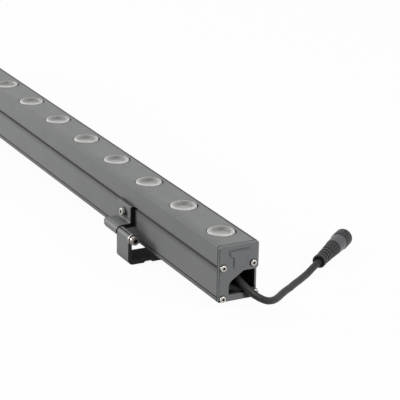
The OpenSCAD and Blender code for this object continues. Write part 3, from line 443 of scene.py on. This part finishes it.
def lens_plastic():
    """Clear moulded lens: frosted bright rim, and a ribbed bowl; painted shade greys the bowl and the rim
    towards their far side and darkens its crevices.
    """
    n = Nodes("lens_plastic")
    across, beside, radius = n.from_lens()
    spoke = n.maths("MULTIPLY", n.maths("ARCTAN2", beside, across), 7.0)
    swirl = n.add("ShaderNodeCombineXYZ", X=spoke, Y=n.maths("MULTIPLY", radius, 60.0))
    ribs = n.between(n.noise(1.6, 3, 0.6, swirl.outputs["Vector"]), 0, 1, 0.35, 0.65)
    # Painted shade: the bowl greys, and the rim darkens, towards their far side.
    shaded_side = n.towards(BOWL_SHADE_WAY, across, beside)
    bowl = n.blend(n.between(shaded_side, 0, 1, 0.05 * LENS_R, 0.7 * LENS_R), srgb(196, 197, 193),
                   srgb(116, 117, 115))
    bowl = n.blend(n.both(ribs, 0.25), bowl, srgb(200, 200, 196))
    rim = n.blend(n.between(shaded_side, 0, 1, -0.8 * LENS_R, 0.7 * LENS_R), srgb(232, 232, 228),
                  srgb(196, 197, 193))
    rim = n.blend(n.between(n.noise(300, 4), 0, 0.3), rim, srgb(226, 226, 221))
    tint = n.blend(n.between(radius, 0, 1, *BOWL_EDGE), bowl, rim)
    tint = n.blend(n.between(radius, 0, 0.5, *RIM_EDGE), tint, srgb(236, 236, 232))
    # Painted shade in crevices.
    tint = n.blend(n.open_to_air(0.0012, 0.3, 0.75), srgb(120, 121, 119), tint)
    frost = n.bump(n.noise(2400, 3), 0.00002, 0.5)
    fluted = n.bump(ribs, 0.00006, 0.5, frost)
    return n.finish(Base_Color=tint, Roughness=n.between(n.noise(500, 3), 0.26, 0.40), Normal=fluted,
                    IOR=1.49, Transmission_Weight=0.22)


def board_enamel():
    """White solder mask with faint copper tracks under it."""
    n = Nodes("board_enamel")
    tracks = n.between(n.noise(70, 1, 0.4, n.stretched(0.25, 1, 1)), 0, 1, 0.49, 0.51)
    tint = n.blend(tracks, srgb(226, 227, 222), srgb(214, 217, 210))
    return n.finish(Base_Color=tint, Roughness=n.between(n.noise(300, 3), 0.30, 0.42),
                    Normal=n.bump(tracks, 0.00003, 0.4))


def phosphor():
    """Yellow LED phosphor under its clear dome."""
    n = Nodes("led_phosphor")
    tint = n.blend(n.between(n.noise(1500, 3), 0, 1), srgb(222, 196, 84), srgb(236, 214, 112))
    return n.finish(Base_Color=tint, Roughness=n.between(n.noise(900, 3), 0.18, 0.3), Coat_Weight=0.5)


bar_finish = coated("bar_coat", srgb(125, 126, 126), 0.46, wear_and_highlight=0.0, near=(0.4, 0.88), marks=bar_marks)
cap_finish = coated("cap_coat", srgb(113, 115, 116), 0.44, orange=520, wear_and_highlight=0.9)
bracket_finish = coated("bracket_coat", srgb(124, 125, 125), 0.42, near=(0.3, 0.7), marks=bracket_marks)
bulkhead_metal = coated("bulkhead_metal", srgb(92, 93, 94), 0.42, metallic=0.6)
stainless = drawn("stainless_steel", srgb(192, 189, 183), 0.3, (0.1, 1, 1), metallic=0.8)
# Its strong random light and dark patches are painted reflection.
bolt_steel = drawn("bolt_steel", srgb(124, 120, 114), 0.26, (0.15, 1, 1), lines=700, tone=0.6)
black_steel = drawn("black_steel", srgb(48, 48, 49), 0.36, (0.1, 1, 1), metallic=0.6)
driver_metal = drawn("driver_case", srgb(182, 184, 184), 0.34, (0.02, 1, 1))
contact_brass = drawn("contact_brass", srgb(200, 170, 96), 0.26, (1, 1, 0.1))
seal_black = rubbery("seal_rubber", srgb(36, 36, 37), 0.55)
cable_black = rubbery("cable_rubber", srgb(34, 33, 32), 0.5, grain=1400)
relief_black = rubbery("relief_rubber", srgb(34, 34, 34), 0.5, near=(0.3, 0.7))
coupling_black = rubbery("coupling_plastic", srgb(36, 36, 38), 0.34, grain=2600, depth=0.000015)
wire_sleeve = rubbery("wire_sleeve", srgb(60, 60, 62), 0.4)
cable.data.materials.append(cable_black)

# A node takes the finish of the first entry that its name starts with
BY_NODE = {
    "housing": bar_finish, "end_cap": cap_finish, "end_seal": seal_black, "cap_screws": stainless,
    "lens_seals": lens_seal(), "lens_": lens_plastic(), "led_board": board_enamel(),
    "led_emitters": phosphor(), "board_screws": stainless, "driver_screws": stainless,
    "driver_leads": wire_sleeve, "board_leads": wire_sleeve, "driver": driver_metal,
    "bulkhead_seal": seal_black, "bulkhead": bulkhead_metal, "gland_seal": seal_black, "gland_": stainless,
    "strain_relief": relief_black, "cable": cable_black, "connector_seal": seal_black,
    "connector_contacts": contact_brass, "connector_insert": seal_black,
    "connector_body": plug_rubber(), "coupling_nut": coupling_black, "clamp_screw": stainless,
    "clamp_": bracket_finish, "foot_": bracket_finish, "hinge_nut": black_steel, "hinge_bolt": bolt_steel,
    "hinge_": stainless,
}
for name, node in frame["nodes"].items():
    finish = next(finish for start, finish in BY_NODE.items() if name.startswith(start))
    if not node.material_slots:
        node.data.materials.append(None)
    for slot in node.material_slots:
        slot.link = "OBJECT"
        slot.material = finish


# Studio: a world and a floor that look white, and light the object little
WORLD_SEEN, WORLD_LIGHT = 1.0, 0.13
FLOOR_REACH = 14
FLOOR_DROP = 0.0002
FLOOR_SEEN, FLOOR_LIGHT = srgb(246, 246, 246), srgb(112, 112, 112)
FLOOR_GLOW_SHARE = 0.96
LAMP_AIM = Vector((0.2, 0, 0.05))


def seen(tree):
    """1 for rays from the camera, a mirror or a glass, else 0."""
    path = tree.nodes.new("ShaderNodeLightPath")
    total = path.outputs["Is Camera Ray"]
    for name in ("Is Glossy Ray", "Is Transmission Ray"):
        node = tree.nodes.new("ShaderNodeMath")
        node.operation = "MAXIMUM"
        tree.links.new(total, node.inputs[0])
        tree.links.new(path.outputs[name], node.inputs[1])
        total = node.outputs[0]
    return total


def white_world():
    """World that is white where it is seen, and dim as a light."""
    world = bpy.data.worlds.new("studio")
    world.use_nodes = True
    tree = world.node_tree
    background = tree.nodes["Background"]
    background.inputs["Color"].default_value = (1, 1, 1, 1)
    strength = tree.nodes.new("ShaderNodeMapRange")
    tree.links.new(seen(tree), strength.inputs["Value"])
    strength.inputs["To Min"].default_value = WORLD_LIGHT
    strength.inputs["To Max"].default_value = WORLD_SEEN
    tree.links.new(strength.outputs["Result"], background.inputs["Strength"])
    return world


def paper():
    """Paper that glows white where it is seen and keeps a share of its shadows."""
    material = bpy.data.materials.new("paper")
    material.use_nodes = True
    tree = material.node_tree
    shown = seen(tree)
    matt = tree.nodes["Principled BSDF"]
    matt.inputs["Roughness"].default_value = 0.9
    tone = tree.nodes.new("ShaderNodeMix")
    tone.data_type = "RGBA"
    tone.inputs[6].default_value = FLOOR_LIGHT
    tone.inputs[7].default_value = FLOOR_SEEN
    tree.links.new(shown, tone.inputs[0])
    tree.links.new(tone.outputs[2], matt.inputs["Base Color"])
    share = tree.nodes.new("ShaderNodeMath")
    share.operation = "MULTIPLY"
    share.inputs[1].default_value = FLOOR_GLOW_SHARE
    tree.links.new(shown, share.inputs[0])
    glow = tree.nodes.new("ShaderNodeEmission")
    mix = tree.nodes.new("ShaderNodeMixShader")
    tree.links.new(share.outputs[0], mix.inputs[0])
    tree.links.new(matt.outputs[0], mix.inputs[1])
    tree.links.new(glow.outputs[0], mix.inputs[2])
    tree.links.new(mix.outputs[0], tree.nodes["Material Output"].inputs["Surface"])
    return material


def lamp(name, place, size, power):
    """Soft square lamp that faces the light."""
    data = bpy.data.lights.new(name, "AREA")
    data.size = size
    data.energy = power
    place = Vector(place)
    turn = (LAMP_AIM - place).to_track_quat("-Z", "Y").to_matrix().to_4x4()
    obj = bpy.data.objects.new(name, data)
    obj.matrix_world = Matrix.Translation(place) @ turn
    scene.collection.objects.link(obj)


scene.world = white_world()

corners = [(x * FLOOR_REACH, y * FLOOR_REACH, 0) for x, y in ((-1, -1), (1, -1), (1, 1), (-1, 1))]
floor_mesh = bpy.data.meshes.new("floor")
floor_mesh.from_pydata(corners, [], [(0, 1, 2, 3)])
floor_mesh.materials.append(paper())
floor = bpy.data.objects.new("floor", floor_mesh)
floor.location = (0, 0, -FLOOR_DROP)
scene.collection.objects.link(floor)

lamp("key", (-0.9, -0.9, 2.6), size=1.4, power=28)
lamp("side", (-2.2, -2.4, 0.9), size=1.0, power=78)
lamp("end", (2.9, 1.0, 1.3), size=0.8, power=64)

scene.view_settings.view_transform = "Standard"

bpy.context.view_layer.update()
